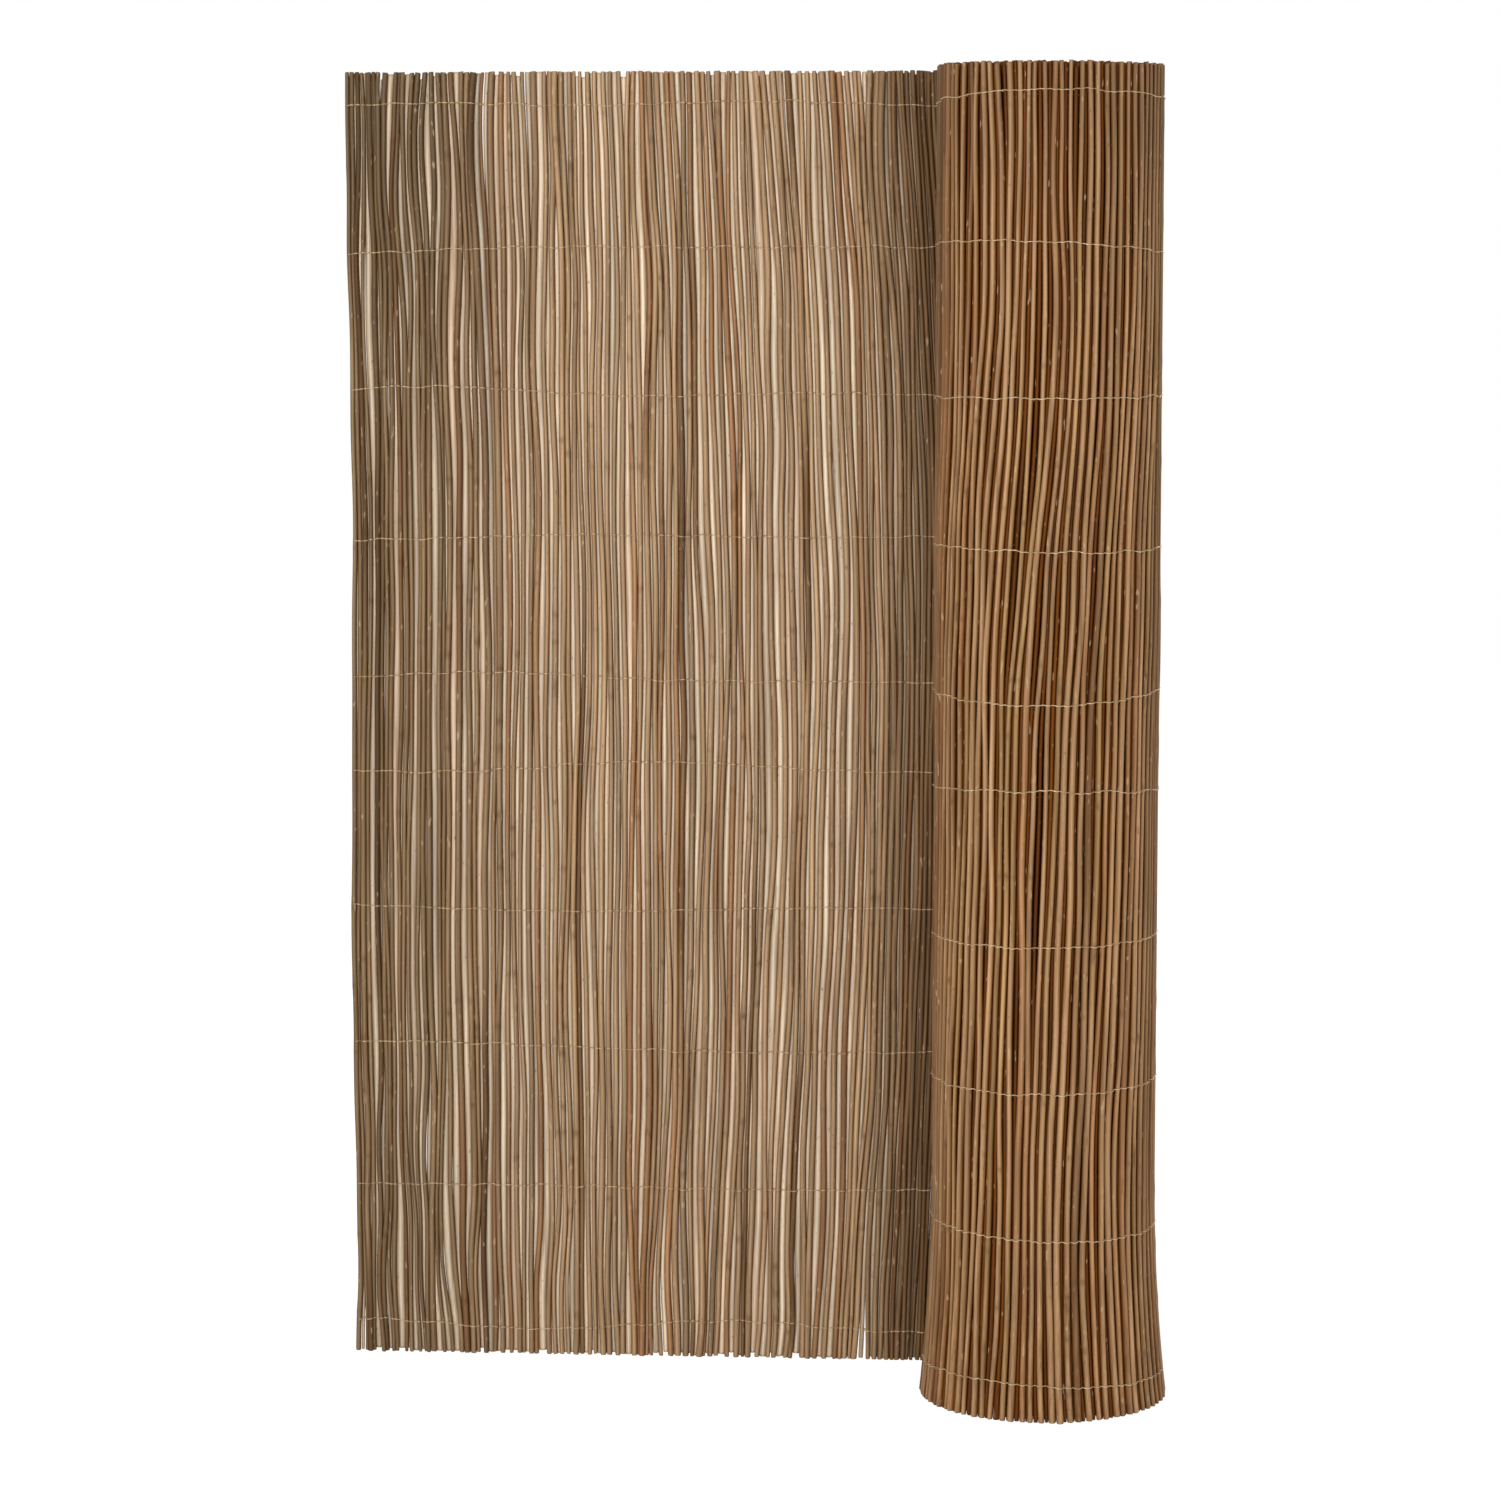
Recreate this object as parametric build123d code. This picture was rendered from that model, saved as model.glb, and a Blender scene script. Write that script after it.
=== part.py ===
"""Willow fence panel: a mat of upright willow rods bound by rows of wire, standing part unrolled."""

from build123d import *
import math
import os
import random

# Driving dimensions, in millimetres
MAT_HEIGHT = 1000.0  # length of every rod, which is the height of the fence
FLAT_LENGTH = 537.0  # unrolled stretch, from the free edge to where the mat starts to turn
ROLLED_LENGTH = 2463.0  # stretch wound into the roll
CORE_RADIUS = 36.0  # middle of the innermost turn
ROD_DEPTH = 5.0  # thickness of a rod, from the front of the mat to its rear
FLAT_ROD_WIDTH = 4.4  # mean width of a rod in the unrolled stretch
FLAT_SLIT = 0.9  # mean daylight between two rods there
ROLLED_ROD_PITCH = 6.6  # from rod to rod in the rolled stretch
ROLLED_VALLEY = 1.8  # thickness of the mat between two rods there
WIRE = 1.0  # thickness of a binding wire
WIRE_CLEARANCE = 0.1  # between a wire and the rods, or the wire of the next turn
END_ROW = 25.0  # from the end of the rods to the first row of wire
ROW_PITCH = 110.0  # from row to row, counted inwards from each end
ROWS_PER_END = 5
BRIDGE_DEPTH = 1.2  # twist of wire that holds two rods together at an end row
BRIDGE_HEIGHT = 2.0
WIDTH_SPREAD = 0.22  # how far a rod's width strays from the mean, as a share of it
SLIT_SPREAD = 0.5  # how far a slit strays from the mean, as a share of it
ROD_SEED = 7

# Sizes that follow
WIRE_OFFSET = ROD_DEPTH / 2 + WIRE_CLEARANCE + WIRE / 2  # middle of the mat to the middle of a wire
LAYER_PITCH = ROD_DEPTH + 2 * WIRE + 3 * WIRE_CLEARANCE  # from one turn of the roll to the next
TURN_RADIUS = math.sqrt(CORE_RADIUS**2 + ROLLED_LENGTH * LAYER_PITCH / math.pi)  # outermost turn
ROLL_OUTSIDE = TURN_RADIUS + WIRE_OFFSET + WIRE / 2
MAT_LENGTH = FLAT_LENGTH + ROLLED_LENGTH
FREE_SIDE = -FLAT_LENGTH - WIRE_CLEARANCE - WIRE  # outside of the wire round the free edge
CENTRE = Pos(-(FREE_SIDE + ROLL_OUTSIDE) / 2, 0, 0)  # brings the middle of the foot to the origin


def half_turn(number):
    """Radius, centre and start angle of a half turn of the roll. Each is half a layer tighter."""
    radius = TURN_RADIUS - number * LAYER_PITCH / 2
    if number % 2 == 0:
        return radius, Vector(0, 0), math.pi / 2
    return radius, Vector(0, -LAYER_PITCH / 2), -math.pi / 2


def along_mat(distance):
    """Half turn reached at a distance from the free edge, and the angle turned in it."""
    number = 0
    left = distance - FLAT_LENGTH
    while left > math.pi * half_turn(number)[0]:
        left -= math.pi * half_turn(number)[0]
        number += 1
    return number, left / half_turn(number)[0]


def mat_point(distance, offset):
    """Point of the mat's plan. A positive offset is towards its rear, which is the roll's outside."""
    if distance <= FLAT_LENGTH:
        return Vector(distance - FLAT_LENGTH, TURN_RADIUS + offset)
    number, turned = along_mat(distance)
    radius, centre, start = half_turn(number)
    angle = start - turned
    return centre + Vector(math.cos(angle), math.sin(angle)) * (radius + offset)


def turn_arcs(offset):
    """Arcs of the mat's plan from where it starts to turn to its inner end, at an offset."""
    last, last_turned = along_mat(MAT_LENGTH)
    arcs = []
    for number in range(last + 1):
        radius, centre, start = half_turn(number)
        turned = last_turned if number == last else math.pi
        angles = (start, start - turned / 2, start - turned)
        points = [centre + Vector(math.cos(a), math.sin(a)) * (radius + offset) for a in angles]
        arcs.append(ThreePointArc(*points))
    return arcs


def row_heights():
    """Heights of the rows of wire, from the foot up."""
    lower = [END_ROW + row * ROW_PITCH for row in range(ROWS_PER_END)]
    upper = [MAT_HEIGHT - height for height in reversed(lower)]
    return lower + upper


def flat_layout():
    """Middle and width of each rod of the unrolled stretch, from the free edge on."""
    draw = random.Random(ROD_SEED)
    count = round((FLAT_LENGTH + FLAT_SLIT) / (FLAT_ROD_WIDTH + FLAT_SLIT))
    widths = [FLAT_ROD_WIDTH * (1 + WIDTH_SPREAD * draw.uniform(-1, 1)) for _ in range(count)]
    slits = [FLAT_SLIT * (1 + SLIT_SPREAD * draw.uniform(-1, 1)) for _ in range(count - 1)]
    fit = FLAT_LENGTH / (sum(widths) + sum(slits))
    layout = []
    edge = -FLAT_LENGTH
    for width, slit in zip(widths, slits + [0]):
        layout.append((edge + width * fit / 2, width * fit))
        edge += (width + slit) * fit
    return layout


def rod_section(width):
    """Six-sided section of one rod, with a ridge on the front and on the rear of the mat."""
    side = ROD_DEPTH / 4
    ridge = ROD_DEPTH / 2
    right = [(0, -ridge), (width / 2, -side), (width / 2, side)]
    left = [(-x, -y) for x, y in right]
    return make_face(Polyline(*right, *left, close=True))


def flat_rods():
    """Rods of the unrolled stretch with a slit between neighbours, bridged at the two end rows."""
    layout = flat_layout()
    rods = [extrude(Pos(x, TURN_RADIUS) * rod_section(width), amount=MAT_HEIGHT) for x, width in layout]
    first, last = layout[0][0], layout[-1][0]
    bridge = Box(last - first, BRIDGE_DEPTH, BRIDGE_HEIGHT)
    middle = (first + last) / 2
    ends = (row_heights()[0], row_heights()[-1])
    bridges = [Pos(middle, TURN_RADIUS, height) * bridge for height in ends]
    return Part() + (rods + bridges)


def rolled_rods():
    """Rods of the rolled stretch: one wall, ridged at each rod, that winds into the roll."""
    start = FLAT_LENGTH + FLAT_SLIT
    count = round((MAT_LENGTH - start) / ROLLED_ROD_PITCH)
    pitch = (MAT_LENGTH - start) / count
    places = [(start, ROLLED_VALLEY / 2)]
    for rod in range(count):
        places.append((start + (rod + 0.5) * pitch, ROD_DEPTH / 2))
        places.append((start + (rod + 1) * pitch, ROLLED_VALLEY / 2))
    outside = [mat_point(distance, offset) for distance, offset in places]
    inside = [mat_point(distance, -offset) for distance, offset in places]
    plan = make_face(Polyline(*outside, *reversed(inside), close=True))
    return extrude(plan, amount=MAT_HEIGHT)


def strip(near_start, far_start, near, far):
    """Wire along the mat between two offsets, from the points where its two sides start."""
    near_side = [Line(near_start, mat_point(FLAT_LENGTH, near)), *turn_arcs(near)]
    far_side = [Line(far_start, mat_point(FLAT_LENGTH, far)), *turn_arcs(far)]
    inner_end = Line(mat_point(MAT_LENGTH, near), mat_point(MAT_LENGTH, far))
    return near_side + [inner_end] + far_side


def rear_wire():
    """Wire on the mat's rear, which is the outside of the roll, about height zero."""
    near, far = WIRE_OFFSET - WIRE / 2, WIRE_OFFSET + WIRE / 2
    near_start = Vector(FREE_SIDE, TURN_RADIUS + near)
    far_start = Vector(FREE_SIDE, TURN_RADIUS + far)
    plan = make_face(strip(near_start, far_start, near, far) + [Line(near_start, far_start)])
    return Pos(0, 0, -WIRE / 2) * extrude(plan, amount=WIRE)


def front_wire():
    """Wire on the mat's front, hooked round the rod at the free edge up to the wire on the rear."""
    near, far = -WIRE_OFFSET + WIRE / 2, -WIRE_OFFSET - WIRE / 2
    inside = FREE_SIDE + WIRE
    near_start = Vector(inside, TURN_RADIUS + near)
    far_start = Vector(FREE_SIDE, TURN_RADIUS + far)
    tip = TURN_RADIUS + WIRE_OFFSET - WIRE / 2 - WIRE_CLEARANCE
    hook = Polyline(near_start, (inside, tip), (FREE_SIDE, tip), far_start)
    plan = make_face(strip(near_start, far_start, near, far) + hook.edges())
    return Pos(0, 0, -WIRE / 2) * extrude(plan, amount=WIRE)


def fence():
    """Every piece by name, standing on its rod ends with the middle of the foot at the origin."""
    pieces = {"flat_rods": flat_rods(), "rolled_rods": rolled_rods()}
    front, rear = front_wire(), rear_wire()
    for row, height in enumerate(row_heights(), start=1):
        pieces[f"front_wire_{row:02d}"] = Pos(0, 0, height) * front
        pieces[f"rear_wire_{row:02d}"] = Pos(0, 0, height) * rear
    return {name: CENTRE * piece for name, piece in pieces.items()}


os.makedirs("parts", exist_ok=True)
for piece_name, solid in fence().items():
    export_step(solid, f"parts/{piece_name}.step")
print(f"mat {MAT_LENGTH:.0f} long, roll {2 * ROLL_OUTSIDE:.1f} across, {len(flat_layout())} rods unrolled")
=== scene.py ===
# %% [markdown]
# # A willow fence panel, part unrolled
# The real thing is a mat. Thin willow rods stand side by side, and ten rows of twisted wire bind them.
# One stretch stands unrolled at the rear, and the rest winds forwards and inwards into a roll, which
# keeps the panel upright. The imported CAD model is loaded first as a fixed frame. Every piece below is
# made in that frame, in metres, and stands for the plain CAD solid in the same place.

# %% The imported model
import math
import random
from dataclasses import dataclass

import bmesh
import bpy
import numpy as np
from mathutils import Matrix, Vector


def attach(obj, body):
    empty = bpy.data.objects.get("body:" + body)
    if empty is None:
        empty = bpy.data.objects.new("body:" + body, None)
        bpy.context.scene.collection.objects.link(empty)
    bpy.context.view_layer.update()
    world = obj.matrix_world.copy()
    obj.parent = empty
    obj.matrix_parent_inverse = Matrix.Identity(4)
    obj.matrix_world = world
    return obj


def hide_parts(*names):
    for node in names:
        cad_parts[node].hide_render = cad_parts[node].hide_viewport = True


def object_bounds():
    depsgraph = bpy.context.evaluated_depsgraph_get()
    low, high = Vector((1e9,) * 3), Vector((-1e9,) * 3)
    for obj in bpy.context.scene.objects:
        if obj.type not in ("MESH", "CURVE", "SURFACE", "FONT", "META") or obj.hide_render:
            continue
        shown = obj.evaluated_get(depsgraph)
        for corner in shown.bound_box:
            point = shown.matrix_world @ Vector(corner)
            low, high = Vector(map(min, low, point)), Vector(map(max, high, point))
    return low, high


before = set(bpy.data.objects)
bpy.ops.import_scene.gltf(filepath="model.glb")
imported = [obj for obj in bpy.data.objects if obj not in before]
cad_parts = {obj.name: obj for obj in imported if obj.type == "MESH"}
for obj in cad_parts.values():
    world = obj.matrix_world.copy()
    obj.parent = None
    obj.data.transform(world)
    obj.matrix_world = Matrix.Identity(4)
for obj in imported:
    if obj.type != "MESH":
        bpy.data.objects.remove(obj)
CAD_BOX = [list(corner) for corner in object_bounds()]
scene = bpy.context.scene
scene.view_settings.view_transform = "Standard"
print("CAD box", [[round(side, 4) for side in corner] for corner in CAD_BOX])

# %% [markdown]
# ## Camera
# The panel is seen from the front, a little above its middle, through a long lens. A view camera would
# shift its lens down so that the rods stay upright in the picture. Here a small shift does part of that
# and a slight tilt does the rest, because a large shift would cut the panel off in views from elsewhere.

# %% Camera
CAMERA_PLACE = (0.2232, -3.2012, 0.8527)
CAMERA_DOWN = 0.0989  # radians below level
CAMERA_LEFT = 0.0682  # radians towards the free edge
CAMERA_LENS = 102.8  # millimetres, on Blender's 36 mm sensor
CAMERA_SHIFT = -0.04  # share of the picture's side

camera = bpy.data.objects.new("camera", bpy.data.cameras.new("camera"))
camera.location = CAMERA_PLACE
camera.rotation_euler = (math.pi / 2 - CAMERA_DOWN, 0, CAMERA_LEFT)
camera.data.lens = CAMERA_LENS
camera.data.shift_y = CAMERA_SHIFT
scene.collection.objects.link(camera)
scene.camera = camera
print("camera", CAMERA_PLACE, "lens", CAMERA_LENS)

# %% [markdown]
# ## Shader maths
# A node tree soon fills with Math nodes, and their links are hard to read. Wrapping a socket in a small
# class lets Python's own operators add those nodes, so that a finish reads as a sum. Any other node
# comes from one method, which takes the node's type, its settings and what goes into its sockets.


# %% Shader maths
class Shade:
    """A shader socket, or a tree that has none yet. Operators on it add Math nodes to the tree."""

    def __init__(self, tree, socket=None):
        self.tree = tree
        self.socket = socket

    def node(self, kind, settings=None, inputs=None, output=0):
        """Adds a node: its settings first, then the values or links of its sockets."""
        made = self.tree.nodes.new(kind)
        for name, value in (settings or {}).items():
            setattr(made, name, value)
        for name, value in (inputs or {}).items():
            if isinstance(value, Shade):
                self.tree.links.new(value.socket, made.inputs[name])
            else:
                made.inputs[name].default_value = value
        return Shade(self.tree, made.outputs[output] if made.outputs else None)

    def math(self, operation, first, second):
        return self.node("ShaderNodeMath", {"operation": operation}, {0: first, 1: second})

    def __add__(self, other):
        return self.math("ADD", self, other)

    def __sub__(self, other):
        return self.math("SUBTRACT", self, other)

    def __mul__(self, other):
        return self.math("MULTIPLY", self, other)

    def __rsub__(self, other):
        return self.math("SUBTRACT", other, self)

    __radd__ = __add__
    __rmul__ = __mul__


# %% [markdown]
# ## Small shader helpers
# A few steps come up in every finish: a blend of two colours, a noise stretched along the rods, and a
# mask that rises between two values of a pattern. Colours are written as on a paint chart, from 0 to
# 255, and made linear here, because that is what shaders work in. Every finish opens with an empty
# material and closes with an output node, so both are helpers too.

# %% Small shader helpers
MIX_SHARE, MIX_FIRST, MIX_SECOND, MIX_RESULT = 0, 6, 7, 2  # sockets of a Mix node that mixes colours


def paint(red, green, blue):
    """Linear colour of one given from 0 to 255."""
    return [((channel / 255 + 0.055) / 1.055) ** 2.4 for channel in (red, green, blue)]


def blend(share, first, second):
    """Colour that goes from the first to the second as share goes from 0 to 1."""
    colours = [each if isinstance(each, Shade) else (*each, 1) for each in (first, second)]
    inputs = {MIX_SHARE: share, MIX_FIRST: colours[0], MIX_SECOND: colours[1]}
    return share.node("ShaderNodeMix", {"data_type": "RGBA"}, inputs, MIX_RESULT)


def grain(tree, across, up, detail=2.0):
    """Noise on Object coordinates, with so many cells to the metre across the rods and up them."""
    place = tree.node("ShaderNodeTexCoord", output="Object")
    cells = {0: place, 1: (across, across, up)}
    stretched = tree.node("ShaderNodeVectorMath", {"operation": "MULTIPLY"}, cells)
    return tree.node("ShaderNodeTexNoise", {}, {"Vector": stretched, "Scale": 1.0, "Detail": detail})


def rise(pattern, low, high):
    """Mask from 0 where a pattern is under low to 1 where it is over high."""
    return pattern.node("ShaderNodeMapRange", {}, {"Value": pattern, "From Min": low, "From Max": high})


def new_material(name):
    """An empty material, and its tree ready for nodes."""
    material = bpy.data.materials.new(name)
    material.use_nodes = True
    material.node_tree.nodes.clear()
    return material, Shade(material.node_tree)


def close_material(material, tree, shader):
    """Leads a shader to the material's output, and says how many nodes the finish took."""
    tree.node("ShaderNodeOutputMaterial", {}, {"Surface": shader})
    print(material.name, len(material.node_tree.nodes), "nodes")


print("128 on the paint chart is", round(paint(128, 128, 128)[0], 3), "in linear light")

# %% [markdown]
# ## Light and floor
# A plain white studio: an even white surround, a broad lamp at the front left that gives each rod a light
# side and a shaded side, weaker ones at the right and at the rear, and a pale floor. A picture of a studio
# could light the panel too, but a few lamps are easier to read and to change. The backdrop is white only
# to rays from the camera, a reflection or a clear surface, so it adds no light to the panel. The floor is
# part white paint and part light of its own, so that it stays white and still takes a soft shadow.

# %% Surround
SURROUND = 0.42  # strength of the light from all sides
WHITE = (1, 1, 1, 1)


def seen_directly(tree):
    """1 for rays from the camera, a reflection or a clear surface, and 0 for light that bounces."""
    kinds = ("Camera", "Glossy", "Transmission")
    direct, glossy, clear = (tree.node("ShaderNodeLightPath", output=f"Is {kind} Ray") for kind in kinds)
    return tree.node("ShaderNodeClamp", {}, {"Value": direct + glossy + clear})


world = bpy.data.worlds.new("studio")
world.use_nodes = True
world.node_tree.nodes.clear()
sky = Shade(world.node_tree)
surround = sky.node("ShaderNodeBackground", {}, {"Color": WHITE, "Strength": SURROUND})
backdrop = sky.node("ShaderNodeBackground", {}, {"Color": WHITE, "Strength": 1.0})
sky_mix = sky.node("ShaderNodeMixShader", {}, {0: seen_directly(sky), 1: surround, 2: backdrop})
sky.node("ShaderNodeOutputWorld", {}, {"Surface": sky_mix})
scene.world = world
print("surround", SURROUND)

# %% Lamps
LAMP_SIDE = 0.8
LAMP_AIM = (0.0, 0.0, 0.5)
LAMPS = {  # place and watts of each
    "front_lamp": ((-0.8, -3.4, 1.7), 73.0),
    "right_lamp": ((3.0, -0.9, 1.3), 2.5),
    "rear_lamp": ((1.0, 3.1, 1.9), 48.0),
}

for name, (place, watts) in LAMPS.items():
    lamp = bpy.data.objects.new(name, bpy.data.lights.new(name, "AREA"))
    lamp.data.size = LAMP_SIDE
    lamp.data.energy = watts
    lamp.location = place
    lamp.rotation_euler = (Vector(LAMP_AIM) - Vector(place)).to_track_quat("-Z", "Y").to_euler()
    scene.collection.objects.link(lamp)
    print(name, watts, "W at", place)

# %% Floor
FLOOR_REACH = 6.0
FLOOR_PAINT = (0.88, 0.88, 0.88, 1)
FLOOR_GLOW = 0.8  # how much of what is seen directly is the floor's own light
FLOOR_WHITE = 1.18

floor_paint, tree = new_material("floor_paint")
matt = tree.node("ShaderNodeBsdfDiffuse", {}, {"Color": FLOOR_PAINT})
glow = tree.node("ShaderNodeEmission", {}, {"Color": WHITE, "Strength": FLOOR_WHITE})
floor_mix = tree.node("ShaderNodeMixShader", {}, {0: seen_directly(tree) * FLOOR_GLOW, 1: matt, 2: glow})
close_material(floor_paint, tree, floor_mix)

bm = bmesh.new()
bmesh.ops.create_grid(bm, x_segments=1, y_segments=1, size=FLOOR_REACH)
floor_mesh = bpy.data.meshes.new("floor")
bm.to_mesh(floor_mesh)
bm.free()
floor = bpy.data.objects.new("floor", floor_mesh)
floor.data.materials.append(floor_paint)
scene.collection.objects.link(floor)

# %% [markdown]
# ## Plan of the mat
# Seen from above, the mat is a straight run and then half circles, each half a layer tighter than the
# one before it. A spiral curve could be drawn instead, but along half circles a distance gives its point
# exactly. Every rod and wire has a distance from the free edge and an offset from the mat's middle, and
# one function turns the distance into a point and the way the rear faces there. The values are those
# of the CAD model, in metres, so its box is the test that they were copied well.

# %% Plan of the mat
MAT_HEIGHT = 1.0
FLAT_LENGTH = 0.537
ROLLED_LENGTH = 2.463
CORE_RADIUS = 0.036
ROD_DEPTH = 0.005
WIRE = 0.001
WIRE_CLEARANCE = 0.0001
WIRE_OFFSET = ROD_DEPTH / 2 + WIRE_CLEARANCE + WIRE / 2
LAYER_PITCH = ROD_DEPTH + 2 * WIRE + 3 * WIRE_CLEARANCE
TURN_RADIUS = math.sqrt(CORE_RADIUS**2 + ROLLED_LENGTH * LAYER_PITCH / math.pi)
ROLL_OUTSIDE = TURN_RADIUS + WIRE_OFFSET + WIRE / 2
FREE_SIDE = FLAT_LENGTH + WIRE_CLEARANCE + WIRE
ROLL_X = (FREE_SIDE - ROLL_OUTSIDE) / 2
HALF_TURNS = 14  # one more than the mat reaches

turn_radii = TURN_RADIUS - np.arange(HALF_TURNS) * LAYER_PITCH / 2
turn_starts = FLAT_LENGTH + np.append(0, np.pi * turn_radii.cumsum())[:-1]


def mat_frame(distance):
    """Middle of the mat at distances from the free edge, and the direction of its rear there."""
    number = np.clip(np.searchsorted(turn_starts, distance, side="right") - 1, 0, None)
    odd = number % 2
    turned = np.maximum(distance - turn_starts[number], 0) / turn_radii[number]
    angle = np.pi / 2 - np.pi * odd - turned
    rear = np.stack((np.cos(angle), np.sin(angle)), axis=-1)
    before = np.minimum(distance - FLAT_LENGTH, 0)
    centre = np.stack((ROLL_X + before, -odd * LAYER_PITCH / 2), axis=-1)
    return centre + rear * turn_radii[number][..., None], rear


print("roll reaches x", round(ROLL_X + ROLL_OUTSIDE, 5), "and in the CAD box", round(CAD_BOX[1][0], 5))

# %% [markdown]
# ## Where the rods stand
# The unrolled rods differ in width and in the slit beside them, and the rolled ones stand at an even
# pitch. New places could be drawn here, but both layouts repeat the CAD model's, with the same seed, so
# that each rod starts from the place of its own CAD rod. How it leans from there comes next.

# %% Where the rods stand
FLAT_ROD_WIDTH = 0.0044
FLAT_SLIT = 0.0009
WIDTH_SPREAD = 0.22
SLIT_SPREAD = 0.5
ROD_SEED = 7
ROLLED_ROD_PITCH = 0.0066


def flat_layout():
    """Distance from the free edge and width of each unrolled rod."""
    draw = random.Random(ROD_SEED)
    count = round((FLAT_LENGTH + FLAT_SLIT) / (FLAT_ROD_WIDTH + FLAT_SLIT))
    widths = [FLAT_ROD_WIDTH * (1 + WIDTH_SPREAD * draw.uniform(-1, 1)) for _ in range(count)]
    slits = [FLAT_SLIT * (1 + SLIT_SPREAD * draw.uniform(-1, 1)) for _ in range(count - 1)]
    fit = FLAT_LENGTH / (sum(widths) + sum(slits))
    widths = np.array(widths) * fit
    edges = np.append(0, (widths[:-1] + np.array(slits) * fit).cumsum())
    return edges + widths / 2, widths


flat_places, flat_widths = flat_layout()
flat_count = len(flat_places)
rolled_start = FLAT_LENGTH + FLAT_SLIT
rolled_count = round((ROLLED_LENGTH - FLAT_SLIT) / ROLLED_ROD_PITCH)
rolled_pitch = (ROLLED_LENGTH - FLAT_SLIT) / rolled_count
rolled_places = rolled_start + (np.arange(rolled_count) + 0.5) * rolled_pitch
print(flat_count, "unrolled rods,", rolled_count, "rolled rods")

# %% [markdown]
# ## How a rod grows
# No willow rod is a straight stick. It tapers from butt to tip, bends, thickens at each knot, and leans
# away from its neighbours until the wire pulls it back. A noise texture could push the vertices about,
# but then neighbours would run through each other. Here the gaps between rods open and close with
# height, in slow waves, while the whole run keeps its length. Where two rods crowd together, one comes
# forward and the next goes back, just far enough that they touch.

# %% Waves along the rods
LEVELS = 97
WAVE_TERMS = 3
levels = np.linspace(0, MAT_HEIGHT, LEVELS)


def waves(count, lengths, draw, reach=levels):
    """So many rows of smooth ups and downs with a spread of about one, in waves of the given lengths."""
    wave_lengths = draw.uniform(*lengths, (WAVE_TERMS, count, 1))
    phases = draw.uniform(0, 2 * np.pi, (WAVE_TERMS, count, 1))
    return np.cos(2 * np.pi * reach / wave_lengths + phases).sum(axis=0) * math.sqrt(2 / WAVE_TERMS)


def evened(values, reach=3):
    """Rows of values, each averaged over so many places to both sides."""
    padded = np.pad(values, ((0, 0), (reach, reach)), mode="edge")
    width = values.shape[1]
    return np.mean([padded[:, step : step + width] for step in range(2 * reach + 1)], axis=0)


print(LEVELS, "levels to a rod,", round(levels[1], 4), "m apart")

# %% Gaps that open and close
GAP_WAVES, FLUTTER_WAVES, BEND_WAVES = (0.22, 0.9), (0.1, 0.26), (0.12, 0.35)  # shortest and longest
ROD_BEND = 0.0003  # how far a rod strays from its own line
UPRIGHT = 0.85  # how much of a lean that neighbours share is taken out
LEAN_REACH = 5  # how many neighbours to both sides such a lean is averaged over
MOST_CHANGE = 0.6  # how far a gap opens or closes at most, as a power of e


def wander(places, openness, spread, flutter, draw):
    """Distances of the rods at every level: the gaps open and close, and the run keeps its length."""
    count = len(places) - 1
    change = openness + spread * waves(count, GAP_WAVES, draw) + flutter * waves(count, FLUTTER_WAVES, draw)
    gaps = np.diff(places)[:, None] * np.exp(MOST_CHANGE * np.tanh(change / MOST_CHANGE))
    gaps *= (places[-1] - places[0]) / gaps.sum(axis=0)
    along = places[0] + np.vstack((np.zeros(LEVELS), gaps.cumsum(axis=0)))
    leaning = evened((along - along.mean(axis=1, keepdims=True)).T, LEAN_REACH).T
    bends = ROD_BEND * waves(len(places), BEND_WAVES, draw)
    return along - UPRIGHT * leaning + bends


def make_way(along, radius):
    """Offset from the mat's middle at which crowded neighbours pass in front of and behind each other."""
    touching = radius[1:] + radius[:-1]
    crowded = evened(np.sqrt(np.maximum(touching**2 - np.diff(along, axis=0) ** 2, 0)) / 2)
    needed = np.zeros_like(along)
    needed[1:] = crowded
    needed[:-1] = np.maximum(needed[:-1], crowded)
    return needed * np.where(np.arange(len(along)) % 2, 1, -1)[:, None]


print("a gap opens to", round(math.exp(MOST_CHANGE), 2), "times its width at most")

# %% [markdown]
# ## Rods that lean together
# The mat is wound a little askew. The rods beside the roll bow towards it at half height, and those of the
# roll lean, with their feet further round it than their tops. Each rod could be turned by hand, but then
# its neighbours would have to follow. Here soft steps along the mat say how much of the bow and of
# the lean a rod has, so that neighbours differ little.

# %% Rods that lean together
BOW, BOW_FROM, BOW_FULL = 0.0145, 0.16, 0.33  # size, and where along the mat it starts and is full
ROLL_LEAN, LEAN_FULL = 0.023, 0.73  # size, and where along the mat it is full
LEAN_LOW, LEAN_HIGH = 0.2, 0.95  # heights between which a rod leans
MEAN_OF_BOW = 2 / math.pi


def smooth(value, low, high):
    """0 under low, 1 over high, and a soft rise in between."""
    share = np.clip((value - low) / (high - low), 0, 1)
    return share * share * (3 - 2 * share)


def shared_lean(places):
    """How far the rods bow and lean along the mat together, at every level."""
    round_the_roll = smooth(places, FLAT_LENGTH, LEAN_FULL)[:, None]
    beside_it = smooth(places, BOW_FROM, BOW_FULL)[:, None] - round_the_roll
    bow = np.sin(np.pi * levels / MAT_HEIGHT) - MEAN_OF_BOW
    lean = 0.5 - smooth(levels, LEAN_LOW, LEAN_HIGH)
    return BOW * beside_it * bow + ROLL_LEAN * round_the_roll * lean


print("rods lean along the mat by up to", round(np.abs(shared_lean(rolled_places)).max(), 4))

# %% [markdown]
# ## Knots, taper and cut ends
# A knot is a swelling on one rod, a few to the metre. It could be a bump in the finish, but then it would
# not show in the outline. So it is placed on one of the rod's levels, where the mesh has a ring of vertices
# to swell. The same values later darken the bark there. All that is known of a run of rods is kept
# together, as arrays with a row for each rod.

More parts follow.
